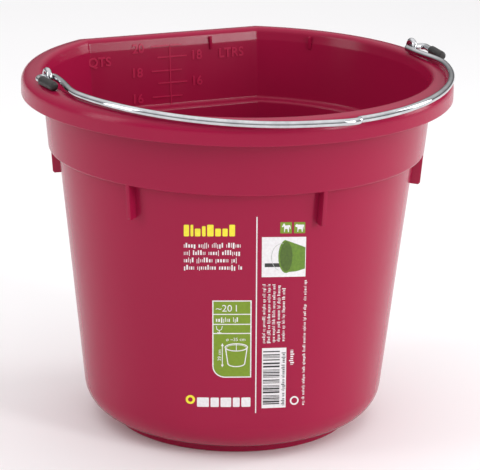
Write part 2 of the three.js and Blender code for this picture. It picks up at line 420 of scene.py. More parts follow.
# how round the section's corners are
roundSet = {
    "footInside": 1.5,
    "footInnerToe": 0.5,
    "footOuterToe": 1.2,
    "footTop": 0.6,
    "shoulderFoot": 1.5,
    "shoulderEdge": 2,
    "underRim": 4,
    "skirtInside": 0.4,
    "skirtOutside": 0.9,
    "crest": 12,
    "flareFoot": 8,
    "ledge": 2.5,
}


# radius of the outer wall below the shoulder
def wallAt(height):
    s = shellSet
    return s["shoulderRadius"] - (s["shoulderHeight"] - height) * s["wallSlope"]


# radius of the outer wall between the shoulder and the skirt
def upperAt(height):
    s = shellSet
    rise = (height - s["shoulderHeight"]) / (s["skirtBottom"] - s["shoulderHeight"])
    return s["upperBottomRadius"] + (s["upperTopRadius"] - s["upperBottomRadius"]) * rise


# the inside flares a little more over its last stretch below the rim
def innerAt(height):
    s = shellSet
    flare = max(height - rimHeight + s["flareDrop"], 0) / s["flareDrop"]
    return upperAt(height) - s["wall"] + s["flareReach"] * flare


# how far the flat back is from the axis at a level of this radius
def flatReach(radius):
    return radius - flatDepth * min(radius / shellSet["centreRadius"], 1)


# a point that was shaped round is drawn in to the flat back, and comes out in metres
def drawnIn(x, y, z):
    radius = math.hypot(x, y)
    reach = radius
    if y > 0.1 * radius:
        blend = shellSet["cornerBlend"] * min(radius / shellSet["centreRadius"], 1)
        flat = flatReach(radius) * radius / y
        near = max(blend - abs(radius - flat), 0) / blend
        reach = min(radius, flat) - near * near * blend / 4
    grow = reach / radius if radius else 1
    return Vector((x * grow, y * grow + axisY, z)) * mm


# the wall's section as (radius, height, rounding), from under the base round to the inside floor
def shellSection():
    s, r = shellSet, roundSet
    insideFloor = s["floorHeight"] + s["wall"]
    ledge = s["shoulderHeight"] + s["wall"]
    underRim = rimHeight - s["rimThickness"]
    flareFoot = rimHeight - s["flareDrop"]
    skirtInside = rimRadius - s["skirtThickness"]
    footInside = s["footRadius"] - s["footWidth"]
    return roundedOutline([
        (0, s["floorHeight"]),
        (footInside, s["floorHeight"], r["footInside"]),
        (footInside + s["footDraft"], 0, r["footInnerToe"]),
        (s["footRadius"], 0, r["footOuterToe"]),
        (s["footRadius"], s["floorHeight"], r["footTop"]),
        (wallAt(s["floorHeight"]), s["floorHeight"], s["baseRounding"]),
        (s["shoulderRadius"], s["shoulderHeight"], r["shoulderFoot"]),
        (s["upperBottomRadius"], s["shoulderHeight"], r["shoulderEdge"]),
        (upperAt(underRim), underRim, r["underRim"]),
        (skirtInside, underRim, s["rimOuterRounding"] - s["skirtThickness"]),
        (skirtInside, s["skirtBottom"], r["skirtInside"]),
        (rimRadius, s["skirtBottom"], r["skirtOutside"]),
        (rimRadius, rimHeight - s["rimFall"], s["rimOuterRounding"]),
        (s["crestRadius"], rimHeight, r["crest"]),
        (innerAt(rimHeight), rimHeight, s["flareRounding"]),
        (innerAt(flareFoot), flareFoot, r["flareFoot"]),
        (upperAt(ledge) - s["wall"], ledge, r["ledge"]),
        (wallAt(ledge) - s["wall"], ledge, r["ledge"]),
        (wallAt(insideFloor) - s["wall"], insideFloor, s["baseRounding"] - s["wall"]),
        (0, insideFloor),
    ], closed=False)


# turns from straight back for one level, closest together where the flat meets the round
def levelTurns(radius):
    s = shellSet
    corner = math.acos(flatReach(radius) / radius)
    near = math.radians(s["cornerTurn"])
    low = corner - near
    high = corner + near
    half = [math.atan(math.tan(low) * i / s["flatSteps"]) for i in range(s["flatSteps"])]
    half += [low + 2 * near * i / s["cornerSteps"] for i in range(s["cornerSteps"])]
    half += [high + (math.pi - high) * i / s["roundSteps"] for i in range(s["roundSteps"])]
    return half + [math.pi] + [-turn for turn in reversed(half[1:])]


def addShell(shape):
    section = shellSection()
    rings = []
    for point in section[1:-1]:
        level = []
        for turn in levelTurns(point.x):
            spot = drawnIn(point.x * math.sin(turn), point.x * math.cos(turn), point.y)
            level.append(shape.verts.new(spot))
        rings.append(level)
    for lower, upper in zip(rings, rings[1:]):
        for i in range(len(lower)):
            j = (i + 1) % len(lower)
            shape.faces.new((lower[i], lower[j], upper[j], upper[i]))
    for ring, end in ((rings[0], section[0]), (rings[-1], section[-1])):
        middle = shape.verts.new(drawnIn(0, 0, end.y))
        for i in range(len(ring)):
            shape.faces.new((ring[i], ring[(i + 1) % len(ring)], middle))


# a closed block from an outline in (reach, height), of the given thickness, turned about the axis
def addUprightBlock(shape, outline, thickness, turn, bevel):
    block = bmesh.new()
    ends = []
    for side in (-0.5, 0.5):
        ends.append([block.verts.new((reach, side * thickness, height)) for reach, height in outline])
    block.faces.new(ends[0])
    block.faces.new(list(reversed(ends[1])))
    for i in range(len(outline)):
        j = (i + 1) % len(outline)
        block.faces.new((ends[0][j], ends[0][i], ends[1][i], ends[1][j]))
    bmesh.ops.bevel(
        block, geom=block.edges[:], offset=bevel, segments=3, profile=0.5, affect="EDGES",
    )
    cos, sin = math.cos(turn), math.sin(turn)
    for vert in block.verts:
        x, y, z = vert.co
        vert.co = drawnIn(x * cos - y * sin, x * sin + y * cos, z)
    mesh = meshFrom(block, "block")
    shape.from_mesh(mesh)
    bpy.data.meshes.remove(mesh)


finSet = {
    "count": 6,
    "turn": 3,
    "thickness": 3.4,
    "bottom": 201,
    "bury": 1.5,
    "footRise": 1,
    "draft": 2.2,
    "bevel": 0.45,
}


def addFins(shape):
    s = finSet
    top = shellSet["shoulderHeight"] + s["bury"]
    edge = shellSet["upperBottomRadius"] - s["draft"]
    outline = [
        (wallAt(s["bottom"]) - s["bury"], s["bottom"] + s["footRise"]),
        (edge - s["bury"], s["bottom"]),
        (edge, s["bottom"] + s["bury"]),
        (edge + s["draft"], top),
        (shellSet["shoulderRadius"] - s["bury"], top),
    ]
    for i in range(s["count"]):
        turn = math.radians(s["turn"] + i * 360 / s["count"] - 90)
        addUprightBlock(shape, outline, s["thickness"], turn, s["bevel"])


ridgeSet = {
    "turns": (132.5, 166),
    "width": 2.6,
    "proud": 0.8,
    "low": 278,
    "high": 289,
    "bevel": 0.6,
}


def addRidges(shape):
    s = ridgeSet
    wall = shellSet["upperTopRadius"] - shellSet["wall"]
    outline = [
        (wall - s["proud"], s["low"]),
        (wall + shellSet["wall"] / 2, s["low"]),
        (wall + shellSet["wall"] / 2, s["high"]),
        (wall - s["proud"], s["high"]),
    ]
    for turn in s["turns"]:
        addUprightBlock(shape, outline, s["width"], math.radians(turn - 90), s["bevel"])


bossSet = {
    "halfTurn": 7,
    "inner": 158.2,
    "outer": 170.5,
    "bottom": 286,
    "bury": 0.5,
    "steps": 10,
}

metalSet = {
    "shift": 1.75,
    "eyeX": 161,
    "pivotY": 9,
    "pivotHeight": 296.5,
}


# the rim is solid under each eye
def addBosses(shape):
    s = bossSet
    top = rimHeight - shellSet["rimThickness"] + s["bury"]
    for side in (-1, 1):
        middle = math.atan2(metalSet["pivotY"], side * metalSet["eyeX"] + metalSet["shift"])
        block = bmesh.new()
        layers = []
        for height in (s["bottom"], top):
            layer = []
            for radius, order in ((s["outer"], 1), (s["inner"], -1)):
                for i in range(s["steps"] + 1):
                    turn = middle + order * math.radians(s["halfTurn"]) * (2 * i / s["steps"] - 1)
                    spot = (radius * math.cos(turn), radius * math.sin(turn) + axisY, height)
                    layer.append(block.verts.new(Vector(spot) * mm))
            layers.append(layer)
        low, high = layers
        block.faces.new(low)
        block.faces.new(list(reversed(high)))
        for i in range(len(low)):
            j = (i + 1) % len(low)
            block.faces.new((low[j], low[i], high[i], high[j]))
        mesh = meshFrom(block, "boss")
        shape.from_mesh(mesh)
        bpy.data.meshes.remove(mesh)


def bucketShell():
    shape = bmesh.new()
    addShell(shape)
    addFins(shape)
    addRidges(shape)
    addBosses(shape)
    piece = finishPiece(meshFrom(shape, "bucketShell"), "moulded_bucket", plasticFinish)
    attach(piece, "bucket")
    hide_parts("bucket_shell")


bucketShell()
print("bucket moulded")


# flat shapes are lists of (across, up) outlines in millimetres
def bar(left, low, right, high):
    return [(left, low), (right, low), (right, high), (left, high)]


def roundBar(left, low, right, high, rounding, onlyLowLeft=False):
    corners = []
    for i, (x, y) in enumerate(bar(left, low, right, high)):
        isRound = i == 0 or not onlyLowLeft
        corners.append((x, y, rounding if isRound else 0))
    return [tuple(point) for point in roundedOutline(corners, closed=True, margin=1e3)]


def ellipse(x, y, across, up, sides=40):
    points = []
    for i in range(sides):
        turn = 2 * math.pi * i / sides
        points.append((x + across * math.cos(turn), y + up * math.sin(turn)))
    return points


# a line of even width along points, as one strip of four-sided pieces
def stroke(points, width, closed=False):
    count = len(points)
    spots = [Vector(point) for point in points]
    sides = []
    for i, spot in enumerate(spots):
        before = spots[i - 1] if closed or i else spot
        after = spots[(i + 1) % count] if closed or i < count - 1 else spot
        legs = [leg.normalized() for leg in (spot - before, after - spot) if leg.length > 1e-9]
        normals = [Vector((-leg.y, leg.x)) for leg in legs]
        across = sum(normals, Vector((0, 0))).normalized()
        reach = width / 2 / max(across.dot(normals[0]), 0.4)
        sides.append((tuple(spot - across * reach), tuple(spot + across * reach)))
    strip = []
    for i in range(count if closed else count - 1):
        (a, b), (c, d) = sides[i], sides[(i + 1) % count]
        strip.append([a, c, d, b])
    return strip


def ringMark(x, y, radius, width):
    return stroke(ellipse(x, y, radius, radius), width, closed=True)


# the height of a capital letter in the default font, for a font size of one
capitalShare = 0.69


def fontShapes(text, height, left, low, turned=False, heavy=0.0):
    curve = bpy.data.curves.new("figures", "FONT")
    curve.body = text
    curve.size = 1
    curve.offset = heavy
    curve.resolution_u = 4
    holder = bpy.data.objects.new("figures", curve)
    mesh = holder.to_mesh()
    spots = [vert.co.copy() for vert in mesh.vertices]
    start = min(spot.x for spot in spots)
    scale = height / capitalShare
    places = []
    for spot in spots:
        along, up = (spot.x - start) * scale, spot.y * scale
        places.append((left - up, low + along) if turned else (left + along, low + up))
    outlines = [[places[i] for i in face.vertices] for face in mesh.polygons]
    holder.to_mesh_clear()
    bpy.data.objects.remove(holder)
    bpy.data.curves.remove(curve)
    return outlines


# flat outlines become thin closed patches; place(across, up, out) puts a point on the bucket
def addPatches(shape, outlines, low, high, place, sliceWidth=2.5):
    flat = bmesh.new()
    known = {}
    for outline in outlines:
        verts = []
        for x, y in outline:
            key = (round(x, 4), round(y, 4))
            if key not in known:
                known[key] = flat.verts.new((x, y, 0))
            if known[key] not in verts:
                verts.append(known[key])
        if len(verts) > 2 and not flat.faces.get(verts):
            flat.faces.new(verts)
    for face in flat.faces:
        face.normal_update()
        if face.normal.z < 0:
            face.normal_flip()
    left = min(vert.co.x for vert in flat.verts)
    right = max(vert.co.x for vert in flat.verts)
    for i in range(math.floor(left / sliceWidth) + 1, math.ceil(right / sliceWidth)):
        everything = flat.verts[:] + flat.edges[:] + flat.faces[:]
        cut = Vector((i * sliceWidth, 0, 0))
        bmesh.ops.bisect_plane(flat, geom=everything, plane_co=cut, plane_no=(1, 0, 0), dist=1e-5)
    bottom = flat.faces[:]
    made = bmesh.ops.extrude_face_region(flat, geom=bottom, use_keep_orig=True)
    top = [item for item in made["geom"] if isinstance(item, bmesh.types.BMVert)]
    topSet = set(top)
    for vert in flat.verts:
        out = high if vert in topSet else low
        vert.co = place(vert.co.x, vert.co.y, out)
    bmesh.ops.recalc_face_normals(flat, faces=flat.faces[:])
    mesh = meshFrom(flat, "patches")
    shape.from_mesh(mesh)
    bpy.data.meshes.remove(mesh)


# the raised measuring scale on the flat inside
scaleSet = {
    "spineX": -4.8,
    "spineLow": 231.8,
    "spineHigh": 283.4,
    "line": 1.0,
    "leftTicks": (284.0, 262.6, 240.4),
    "leftReach": (-21.7, 5.9),
    "rightTicks": (274.2, 252.0),
    "rightReach": (-16.0, 10.7),
    # text, left edge, height of its middle
    "figures": (
        ("20", -39, 283.2), ("18", -39, 262.6), ("16", -39, 240.4),
        ("18", 16, 274.2), ("16", 16, 252.0), ("QTS", -79, 274.3), ("LTRS", 41, 274.0),
    ),
    "figureHeight": 7.6,
    "figureHeavy": 0.018,
    "proud": 0.6,
    "bury": 0.4,
}


def onInnerFlat(x, z, out):
    surface = flatReach(innerAt(z))
    return Vector((x, surface - out + axisY, z)) * mm


def measuringScale():
    s = scaleSet
    half = s["line"] / 2
    low = s["figureHeight"] / 2
    groups = [[bar(s["spineX"] - half, s["spineLow"], s["spineX"] + half, s["spineHigh"])]]
    for ticks, (left, right) in ((s["leftTicks"], s["leftReach"]), (s["rightTicks"], s["rightReach"])):
        for height in ticks:
            groups.append([bar(left, height - half, s["spineX"] - half, height + half)])
            groups.append([bar(s["spineX"] + half, height - half, right, height + half)])
    for text, left, middle in s["figures"]:
        groups.append(fontShapes(text, s["figureHeight"], left, middle - low, heavy=s["figureHeavy"]))
    shape = bmesh.new()
    for outlines in groups:
        addPatches(shape, outlines, -s["bury"], s["proud"], onInnerFlat, sliceWidth=1e3)
    # the scale takes the lighter plastic copy: painted highlight on the raised letters and ticks
    piece = finishPiece(meshFrom(shape, "scale"), "measuring_scale", paintedHighlightFinish)
    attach(piece, "bucket")


measuringScale()
print("measuring scale raised")

# the printed marks on the front of the lower wall
printSet = {
    "zeroTurn": -31,
    "archMiddle": 28,
    "archReach": 50,
    "archDrop": 2.6,
    "inkLow": -0.12,
    "inkHigh": 0.07,
    "layerStep": 0.05,
}


def onFrontWall(across, up, out):
    s = printSet
    height = up - s["archDrop"] * ((across - s["archMiddle"]) / s["archReach"]) ** 2
    turn = math.radians(s["zeroTurn"]) + across / wallAt(height)
    radius = wallAt(height) + out
    return Vector((radius * math.sin(turn), axisY - radius * math.cos(turn), height)) * mm


# plain blocks stand for letters; sizes are shares of the line's height
blockSet = {
    "widths": (0.12, 0.12, 0.24, 0.3),
    "tops": (0.6, 0.6, 0.6, 0.9),
    "feet": (0, 0, 0, 0, 0, -0.2),
    "gap": 0.2,
    "wordGap": 0.4,
    "endGap": 0.3,
    "shortestFirst": 4,
    "shortest": 3,
    "longest": 9,
}


# rows of plain blocks stand for lines of writing, so nothing can be read
def wordBlocks(left, low, right, height, seed, turned=False):
    s = blockSet
    draw = random.Random(seed)
    outlines = []
    across = 0
    length = right - left
    lettersLeft = draw.randint(s["shortestFirst"], s["longest"])
    while across < length - s["endGap"] * height:
        if lettersLeft == 0:
            across += s["wordGap"] * height
            lettersLeft = draw.randint(s["shortest"], s["longest"])
            continue
        wide = height * draw.choice(s["widths"])
        top = height * draw.choice(s["tops"])
        foot = height * draw.choice(s["feet"])
        outlines.append(bar(across, foot, min(across + wide, length), top))
        across += wide + s["gap"] * height
        lettersLeft -= 1
    placed = []
    for block in outlines:
        if turned:
            placed.append([(low - y, left + x) for x, y in block])
        else:
            placed.append([(left + x, low + y) for x, y in block])
    return placed


# a row of plain blocks in place of a bold word: (width, height) of each
titleWord = {
    "left": -22.2,
    "low": 194.6,
    "gap": 1.2,
    "rounding": 0.8,
    "blocks": (
        (4.2, 9.6), (2.2, 9.6), (4.4, 6.4), (2.8, 8.4), (5.0, 9.6), (4.4, 6.4), (4.0, 6.4), (4.4, 9.6),
    ),
}
makerWord = {
    "left": -12.2,
    "low": 49.2,
    "gap": 1.3,
    "rounding": 0.8,
    "blocks": ((9.6, 8.2), (6.6, 8.2), (8.4, 8.2), (5.4, 8.2), (7.2, 8.2)),
}


def boldWord(word):
    across, low = word["left"], word["low"]
    blocks = []
    for wide, tall in word["blocks"]:
        blocks.append(roundBar(across, low, across + wide, low + tall, word["rounding"]))
        across += wide + word["gap"]
    return blocks


writingSet = {
    # the four rows under the title
    "rowLeft": -22.2,
    "rowLow": 185.3,
    "rowStep": 6.13,
    "rowHeight": 4.3,
    "rowEnds": (23.8, 24.9, 19.9, 23.6),
    # the upright columns: (start, end) of each
    "columnLeft": 41.4,
    "columnStep": 3.92,
    "fineHeight": 2.7,
    "columns": ((104.2, 155.0), (104.2, 155.6), (104.8, 154.9), (105.4, 153.8), (105.6, 152.6)),
    # single upright lines: (start, across, end, height, seed)
    "uprightLines": (
        (48.8, 74.9, 137.5, 2.7, 31),
        (140, 74.9, 158.2, 2.7, 32),
        (84.8, 64.6, 100.2, 3.9, 33),
    ),
    # the long rule: (left, low, right, high)
    "rule": (33.9, 43.5, 34.8, 210.5),
    # rings: (x, y, radius, width)
    "whiteRing": (66.2, 53.2, 3.2, 1.3),
    "yellowRing": (-17.6, 55.4, 2.9, 1.9),
}

panelSet = {
    "left": 0.6,
    "right": 30.2,
    "low": 75.3,
    "high": 140.5,
    "rounding": 9.5,
    "border": 0.9,
    "divider": 0.8,
    "dividers": (129.2, 120.7, 112.9),
    # figures: (text, height, left, low)
    "volume": ("~20 l", 5.6, 3.0, 131.6),
    "across": ("ø ~35 cm", 2.7, 11.0, 106.5),
    "tall": ("29 cm", 2.7, 7.0, 89.6),
    # a line of blocks: (left, low, right, height)
    "blocks": (3.0, 122.9, 21.5, 4.2),
}


def panelOutline():
    s = panelSet
    return roundBar(s["left"], s["low"], s["right"], s["high"], s["rounding"], onlyLowLeft=True)


# the small bucket drawn on the panel, its height arrow and the plain cup
signSet = {
    "middle": 18.9,
    "rimHeight": 101.0,
    "rimReach": (8.7, 3.1),
    "innerRimHeight": 100.6,
    "innerRimReach": (7.7, 2.5),
    "wallTop": 100.0,
    "wallReach": 8.4,
    "footHeight": 87.2,
    "footReach": (6.6, 2.8),
    "line": 0.8,
    "thinLine": 0.5,
    "fineLine": 0.35,
    "scaleHigh": 103.6,
    "scaleLow": 98.4,
    "arrowX": 8.0,
    "arrowHalf": 1.1,
    "arrowLow": 83.8,
    "arrowHigh": 104.6,
    "arrowHead": 2.4,
    "shaftHalf": 0.3,
    "shaftInset": 2.2,
}


def bucketSign():
    s = signSet
    middle = s["middle"]
    outerRim = ellipse(middle, s["rimHeight"], *s["rimReach"])
    innerRim = ellipse(middle, s["innerRimHeight"], *s["innerRimReach"])
    footAcross, footUp = s["footReach"]
    sides = [(middle - s["wallReach"], s["wallTop"])]
    for i in range(17):
        turn = math.pi + math.pi * i / 16
        sides.append((middle + footAcross * math.cos(turn), s["footHeight"] + footUp * math.sin(turn)))
    sides.append((middle + s["wallReach"], s["wallTop"]))
    return [
        stroke(outerRim, s["line"], closed=True),
        stroke(innerRim, s["fineLine"], closed=True),
        stroke(sides, s["line"]),
        stroke([(middle, s["scaleHigh"]), (middle, s["scaleLow"])], s["thinLine"]),
    ]


def heightArrow():
    s = signSet
    x, half, low, high = s["arrowX"], s["arrowHalf"], s["arrowLow"], s["arrowHigh"]
    headLow, headHigh = low + s["arrowHead"], high - s["arrowHead"]
    return [
        [bar(x - s["shaftHalf"], low + s["shaftInset"], x + s["shaftHalf"], high - s["shaftInset"])],
        [[(x - half, headHigh), (x + half, headHigh), (x, high)]],
        [[(x - half, headLow), (x, low), (x + half, headLow)]],
    ]


def cupSign():
    bowl = [(3.2, 119.3), (3.8, 116.4), (5.6, 115.4), (7.4, 116.4), (8.0, 119.3)]
    return [
        stroke(bowl, signSet["thinLine"]),
        [bar(5.35, 113.9, 5.85, 115.3)],
        [bar(4.0, 113.4, 7.2, 113.9)],
    ]


# four-legged animals facing left, drawn in a square of side one
horseOutline = [
    (0.12, 0.60), (0.20, 0.54), (0.30, 0.62), (0.33, 0.50), (0.32, 0.10), (0.39, 0.10), (0.42, 0.40),
    (0.62, 0.38), (0.67, 0.10), (0.74, 0.10), (0.76, 0.42), (0.80, 0.62), (0.86, 0.36), (0.90, 0.40),
    (0.87, 0.68), (0.78, 0.74), (0.44, 0.70), (0.33, 0.90), (0.28, 0.86),
]
cowOutline = [
    (0.10, 0.64), (0.17, 0.56), (0.28, 0.58), (0.30, 0.40), (0.30, 0.12), (0.37, 0.12), (0.40, 0.36),
    (0.66, 0.36), (0.70, 0.12), (0.77, 0.12), (0.79, 0.40), (0.84, 0.64), (0.88, 0.34), (0.91, 0.34),
    (0.90, 0.76), (0.34, 0.78), (0.26, 0.84), (0.12, 0.74),
]


def animalMark(outline, left, low, side):
    return [(left + x * side, low + y * side) for x, y in outline]


squareSet = {
    "side": 9.2,
    "low": 196.9,
    "lefts": (52.6, 63.6),
    "rounding": 0.5,
}

pictureSet = {
    "left": 38.3,
    "right": 73.8,
    "low": 160.4,
    "high": 193.8,
    "rounding": 0.3,
    "inset": 0.6,
    "mouthX": 57.6,
    "mouthY": 177.6,
    "mouthReach": (5.0, 12.6),
    "lipReach": (6.4, 14.0),
    # the drawn body's corners, measured up from the middle of its mouth
    "edgeHigh": 7.4,
    "edgeLow": -10.4,
    "shoulder": (70.5, 8.6),
    "foot": (66.0, -12.6),
    "bailMiddle": (54.2, 177.0),
    "bailReach": (8.4, 11.4),
    "bailWidth": 0.35,
    # the rail that the drawn bucket hangs on: (left, low, right, high)
    "rail": (40.6, 168.8, 53.0, 172.0),
}

barcodeSet = {
    "left": 39.1,
    "right": 58.8,
    "low": 47.6,
    "high": 99.9,
    "barsLeft": 40.0,
    "barsRight": 53.4,
    "barsLow": 50.8,
    "barsHigh": 96.5,
    "thick": (0.5, 0.5, 1.0, 1.5),
    "gaps": (0.6, 0.6, 1.2, 1.8),
    "seed": 7,
}


# plain bars with no code behind them
def codeBars():
    s = barcodeSet
    draw = random.Random(s["seed"])
    bars = []
    up = s["barsLow"]
    while up < s["barsHigh"]:
        thick = draw.choice(s["thick"])
        bars.append([bar(s["barsLeft"], up, s["barsRight"], up + thick)])
        up += thick + draw.choice(s["gaps"])
    return bars


def ovalArc(middle, reach, start, sweep, steps):
    points = []
    for i in range(steps + 1):
        turn = math.radians(start + sweep * i / steps)
        points.append((middle[0] + reach[0] * math.cos(turn), middle[1] + reach[1] * math.sin(turn)))
    return points


# a bucket lying open to the left, cut off by the white patch's right edge
def pictureBody():
    s = pictureSet
    x, y = s["mouthX"], s["mouthY"]
    edge = s["right"] - s["inset"]
    outline = [(edge, y + s["edgeHigh"]), (s["shoulder"][0], y + s["shoulder"][1])]
    outline += ovalArc((x, y), s["lipReach"], 100, 190, 12)
    outline += [(s["foot"][0], y + s["foot"][1]), (edge, y + s["edgeLow"])]
    return [[outline]]


def pictureMouth():
    s = pictureSet
    return [[ellipse(s["mouthX"], s["mouthY"], *s["mouthReach"])]]


def pictureBail():
    s = pictureSet
    return [stroke(ovalArc(s["bailMiddle"], s["bailReach"], 82, 170, 14), s["bailWidth"])]


def single(outlines):
    return [[outline] for outline in outlines]


def whiteMarks():
    c, n, w = barcodeSet, pictureSet, writingSet
    marks = []
    for row, right in enumerate(w["rowEnds"]):
        low = w["rowLow"] - w["rowStep"] * row
        marks += single(wordBlocks(w["rowLeft"], low, right, w["rowHeight"], seed=row + 1))
    marks.append([bar(*w["rule"])])
    marks += single(boldWord(makerWord))
    marks.append([roundBar(n["left"], n["low"], n["right"], n["high"], n["rounding"])])
    marks.append([bar(c["left"], c["low"], c["right"], c["high"])])
    for column, (low, high) in enumerate(w["columns"]):
        across = w["columnLeft"] + w["columnStep"] * column
        marks += single(wordBlocks(low, across, high, w["fineHeight"], seed=20 + column, turned=True))
    for low, across, high, height, seed in w["uprightLines"]:
        marks += single(wordBlocks(low, across, high, height, seed=seed, turned=True))
    marks.append(ringMark(*w["whiteRing"]))
    return marks


def yellowMarks():
    marks = single(boldWord(titleWord))
    marks.append(ringMark(*writingSet["yellowRing"]))
    return marks


def greenPatches():
    q = squareSet
    marks = [[panelOutline()]]
    for left in q["lefts"]:
        marks.append([roundBar(left, q["low"], left + q["side"], q["low"] + q["side"], q["rounding"])])
    return marks


def whiteOnGreen():
    p, q = panelSet, squareSet
    half = p["divider"] / 2
    marks = [stroke(panelOutline(), p["border"], closed=True)]
    for height in p["dividers"]:
        marks.append([bar(p["left"], height - half, p["right"], height + half)])
    marks.append(fontShapes(*p["volume"]))
    marks += single(wordBlocks(*p["blocks"], seed=41))
    marks += cupSign()
    marks.append(fontShapes(*p["across"]))
    marks.append(fontShapes(*p["tall"], turned=True))
    marks += bucketSign() + heightArrow()
    for outline, left in zip((horseOutline, cowOutline), q["lefts"]):
        marks.append([animalMark(outline, left, q["low"], q["side"])])
    return marks


def blackMarks():
    c = barcodeSet
    rail = bar(*pictureSet["rail"])
    figures = wordBlocks(c["low"] + 2, c["right"] - 1.2, c["high"] - 3, 3.0, seed=51, turned=True)
    return [[rail]] + codeBars() + single(figures)


# name of the piece: (what it prints, ink, layer above the wall)
printLayers = {
    "print_white": (whiteMarks, "white", 0),
    "print_yellow": (yellowMarks, "yellow", 0),
    "print_green": (greenPatches, "green", 0),
    "print_white_lines": (whiteOnGreen, "white", 1),
    "print_black": (blackMarks, "dark", 1),
    "print_leaf_green": (pictureBody, "leaf", 2),
    "print_dark_green": (pictureMouth, "leafDark", 3),
    "print_grey": (pictureBail, "wire", 3),
}


def printedMarks():
    s = printSet
    inks = {ink: inkMaterial(ink) for ink in inkSet}
    for name, (marks, ink, layer) in printLayers.items():
        shape = bmesh.new()
        high = s["inkHigh"] + s["layerStep"] * layer
        for outlines in marks():
            addPatches(shape, outlines, s["inkLow"], high, onFrontWall)
        piece = finishPiece(meshFrom(shape, name), name, inks[ink])
        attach(piece, "bucket")


printedMarks()
print("front printed")

# the bail, its caps and the wire eyes; x is from the middle between the eyes, y from the bucket's axis
bailSet = {
    "wire": 5.5,
    "innerX": 155.6,
    "outerX": {-1: 169.2, 1: 172.5},
    "bend": 4.2,
    "strandHandle": 24,
    "strandFoot": 5,
    "bowRadius": 162.3,
    "bowCentreY": -17.2,
    "bowEndTurn": 13.7,
    "bowHandle": 18.5,
    "peak": (19.9, -184.5),
    "peakTurns": (-97.7, -83.2),
    "droop": 5.2,
    "reach": 190,
    "droopPower": 3.2,
    "sides": 28,
    "strandSteps": 6,
    "bendSteps": 12,
    "sweepSteps": 28,
    "leftBowSteps": 90,
    "rightBowSteps": 80,
    "peakSteps": 20,
}

capSet = {
    "radius": 3.75,
    "length": 23,
    "floor": 2.5,
    "gap": {-1: 5, 1: 12},
    "turnIn": 5.8,
    "clearance": 0.3,
    "mouthRounding": 0.3,
    "edgeRounding": 0.5,
    "noseRounding": 2.4,
}

eyeSet = {
    "wire": 4.6,
    "span": 10.9,
    "crown": 302,
    "clinchHeight": 281.4,
    "clinchBend": 3.6,
    "clinchLength": 6,
    "sides": 28,
}


def arcPoints(x, y, radius, start, end, steps):
    points = []
    for i in range(steps + 1):
        turn = math.radians(start + (end - start) * i / steps)
        points.append(Vector((x + radius * math.cos(turn), y + radius * math.sin(turn))))
    return points


def bezierPoints(a, b, c, d, steps):
    points = []
    for i in range(steps + 1):
        t = i / steps
        u = 1 - t
        points.append(a * u**3 + b * 3 * u * u * t + c * 3 * u * t * t + d * t**3)
    return points


def linePoints(a, b, steps):
    return [a.lerp(b, i / steps) for i in range(steps + 1)]


def onBail(point):
    s = bailSet
    forward = max(metalSet["pivotY"] - point.y, 0) / s["reach"]
    height = metalSet["pivotHeight"] - s["droop"] * forward ** s["droopPower"]
    return Vector((point.x + metalSet["shift"], point.y + axisY, height))


def bowPoint(turn):
    s = bailSet
    angle = math.radians(turn)
    return Vector((
        s["bowRadius"] * math.cos(angle),
        s["bowCentreY"] + s["bowRadius"] * math.sin(angle),
    ))


def bowPoints(start, end, steps):
    return [bowPoint(start + (end - start) * i / steps) for i in range(steps + 1)]


# one end of the bail, from inside its cap to the foot of the strand, drawn on the right-hand side
def strandPoints(side):
    s, c = bailSet, capSet
    outerX = s["outerX"][side]
    bendY = metalSet["pivotY"] - s["bend"]
    reach = c["gap"][side] + c["length"] - c["floor"] - c["clearance"]
    tip = Vector((outerX - reach * math.tan(math.radians(c["turnIn"])), bendY - reach))
    heel = Vector((outerX, bendY))
    foot = Vector((s["innerX"], bendY - s["strandFoot"]))
    points = linePoints(tip, heel, s["strandSteps"])
    points += arcPoints(outerX - s["bend"], bendY, s["bend"], 0, 90, s["bendSteps"])[1:]
    points += arcPoints(s["innerX"] + s["bend"], bendY, s["bend"], 90, 180, s["bendSteps"])
    points += linePoints(points[-1], foot, 4)[1:]
    return points


def mirrored(points):
    return [Vector((-point.x, point.y)) for point in points]


def bailCurve():
    s = bailSet
    left, right = strandPoints(-1), strandPoints(1)
    bowEnd = bowPoint(-s["bowEndTurn"])
    outward = (bowEnd - Vector((0, s["bowCentreY"]))).normalized()
    backward = Vector((-outward.y, outward.x)) * s["bowHandle"]
    foot = right[-1]
    footHandle = foot - Vector((0, s["strandHandle"]))
    inner = bezierPoints(foot, footHandle, bowEnd + backward, bowEnd, s["sweepSteps"])[1:-1]
    leftTurn, rightTurn = s["peakTurns"]
    leftBow = bowPoints(s["bowEndTurn"] - 180, leftTurn, s["leftBowSteps"])
    rightBow = bowPoints(rightTurn, -s["bowEndTurn"], s["rightBowSteps"])
    start, peak, end = leftBow[-1], Vector(s["peak"]), rightBow[0]
    kink = []
    for i in range(1, s["peakSteps"]):
        t = i / s["peakSteps"]
        kink.append(start * (1 - t) ** 2 + peak * 2 * t * (1 - t) + end * t * t)
    flat = mirrored(left + inner) + leftBow + kink + rightBow + (right + inner)[::-1]
    return [onBail(point) for point in flat]


wireEnds = {
    "rounding": 0.6,
    "share": 0.3,
    "closest": 0.02,
}


